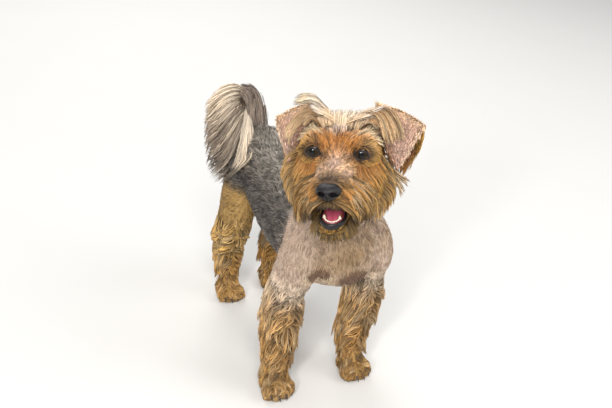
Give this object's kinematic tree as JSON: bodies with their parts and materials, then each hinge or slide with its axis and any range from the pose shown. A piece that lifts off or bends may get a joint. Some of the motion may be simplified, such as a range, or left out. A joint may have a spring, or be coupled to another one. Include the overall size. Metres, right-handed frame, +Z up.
{
  "type": "yorkshire terrier model",
  "caption": "Still life-size model of a small terrier in a pet clip, standing with its head turned and mouth open.",
  "frame": {"origin": "middle of the footprint of the whole model, on the floor under the paws", "axes": "+Z up, the body faces -Y, +X towards the dog's left side"},
  "size_m": [0.1456, 0.3122, 0.3124],
  "materials": {
    "saddle_coat": "short clipped salt-and-pepper steel grey hair",
    "tan_coat": "soft wavy golden tan hair",
    "face_coat": "golden to red-tan hair",
    "plume_coat": "long silver-grey hair with cream streaks",
    "nose_leather": "moist black",
    "eye": "dark brown, wet",
    "tongue": "moist pink",
    "tooth": "ivory",
    "claw": "dark horn"
  },
  "bodies": {
    "root": {"torso": "saddle_coat", "neck": "tan_coat", "head": "face_coat", "lower_jaw": "face_coat", "tongue": "tongue", "nose": "nose_leather", "eye_left": "eye", "eye_right": "eye", "ear_left": "face_coat", "ear_right": "face_coat", "foreleg_left": "tan_coat", "foreleg_right": "tan_coat", "forepaw_left": "tan_coat", "forepaw_right": "tan_coat", "thigh_left": "tan_coat", "thigh_right": "tan_coat", "shank_left": "tan_coat", "shank_right": "tan_coat", "hindpaw_left": "tan_coat", "hindpaw_right": "tan_coat", "tail": "plume_coat"}
  },
  "joints": []
}
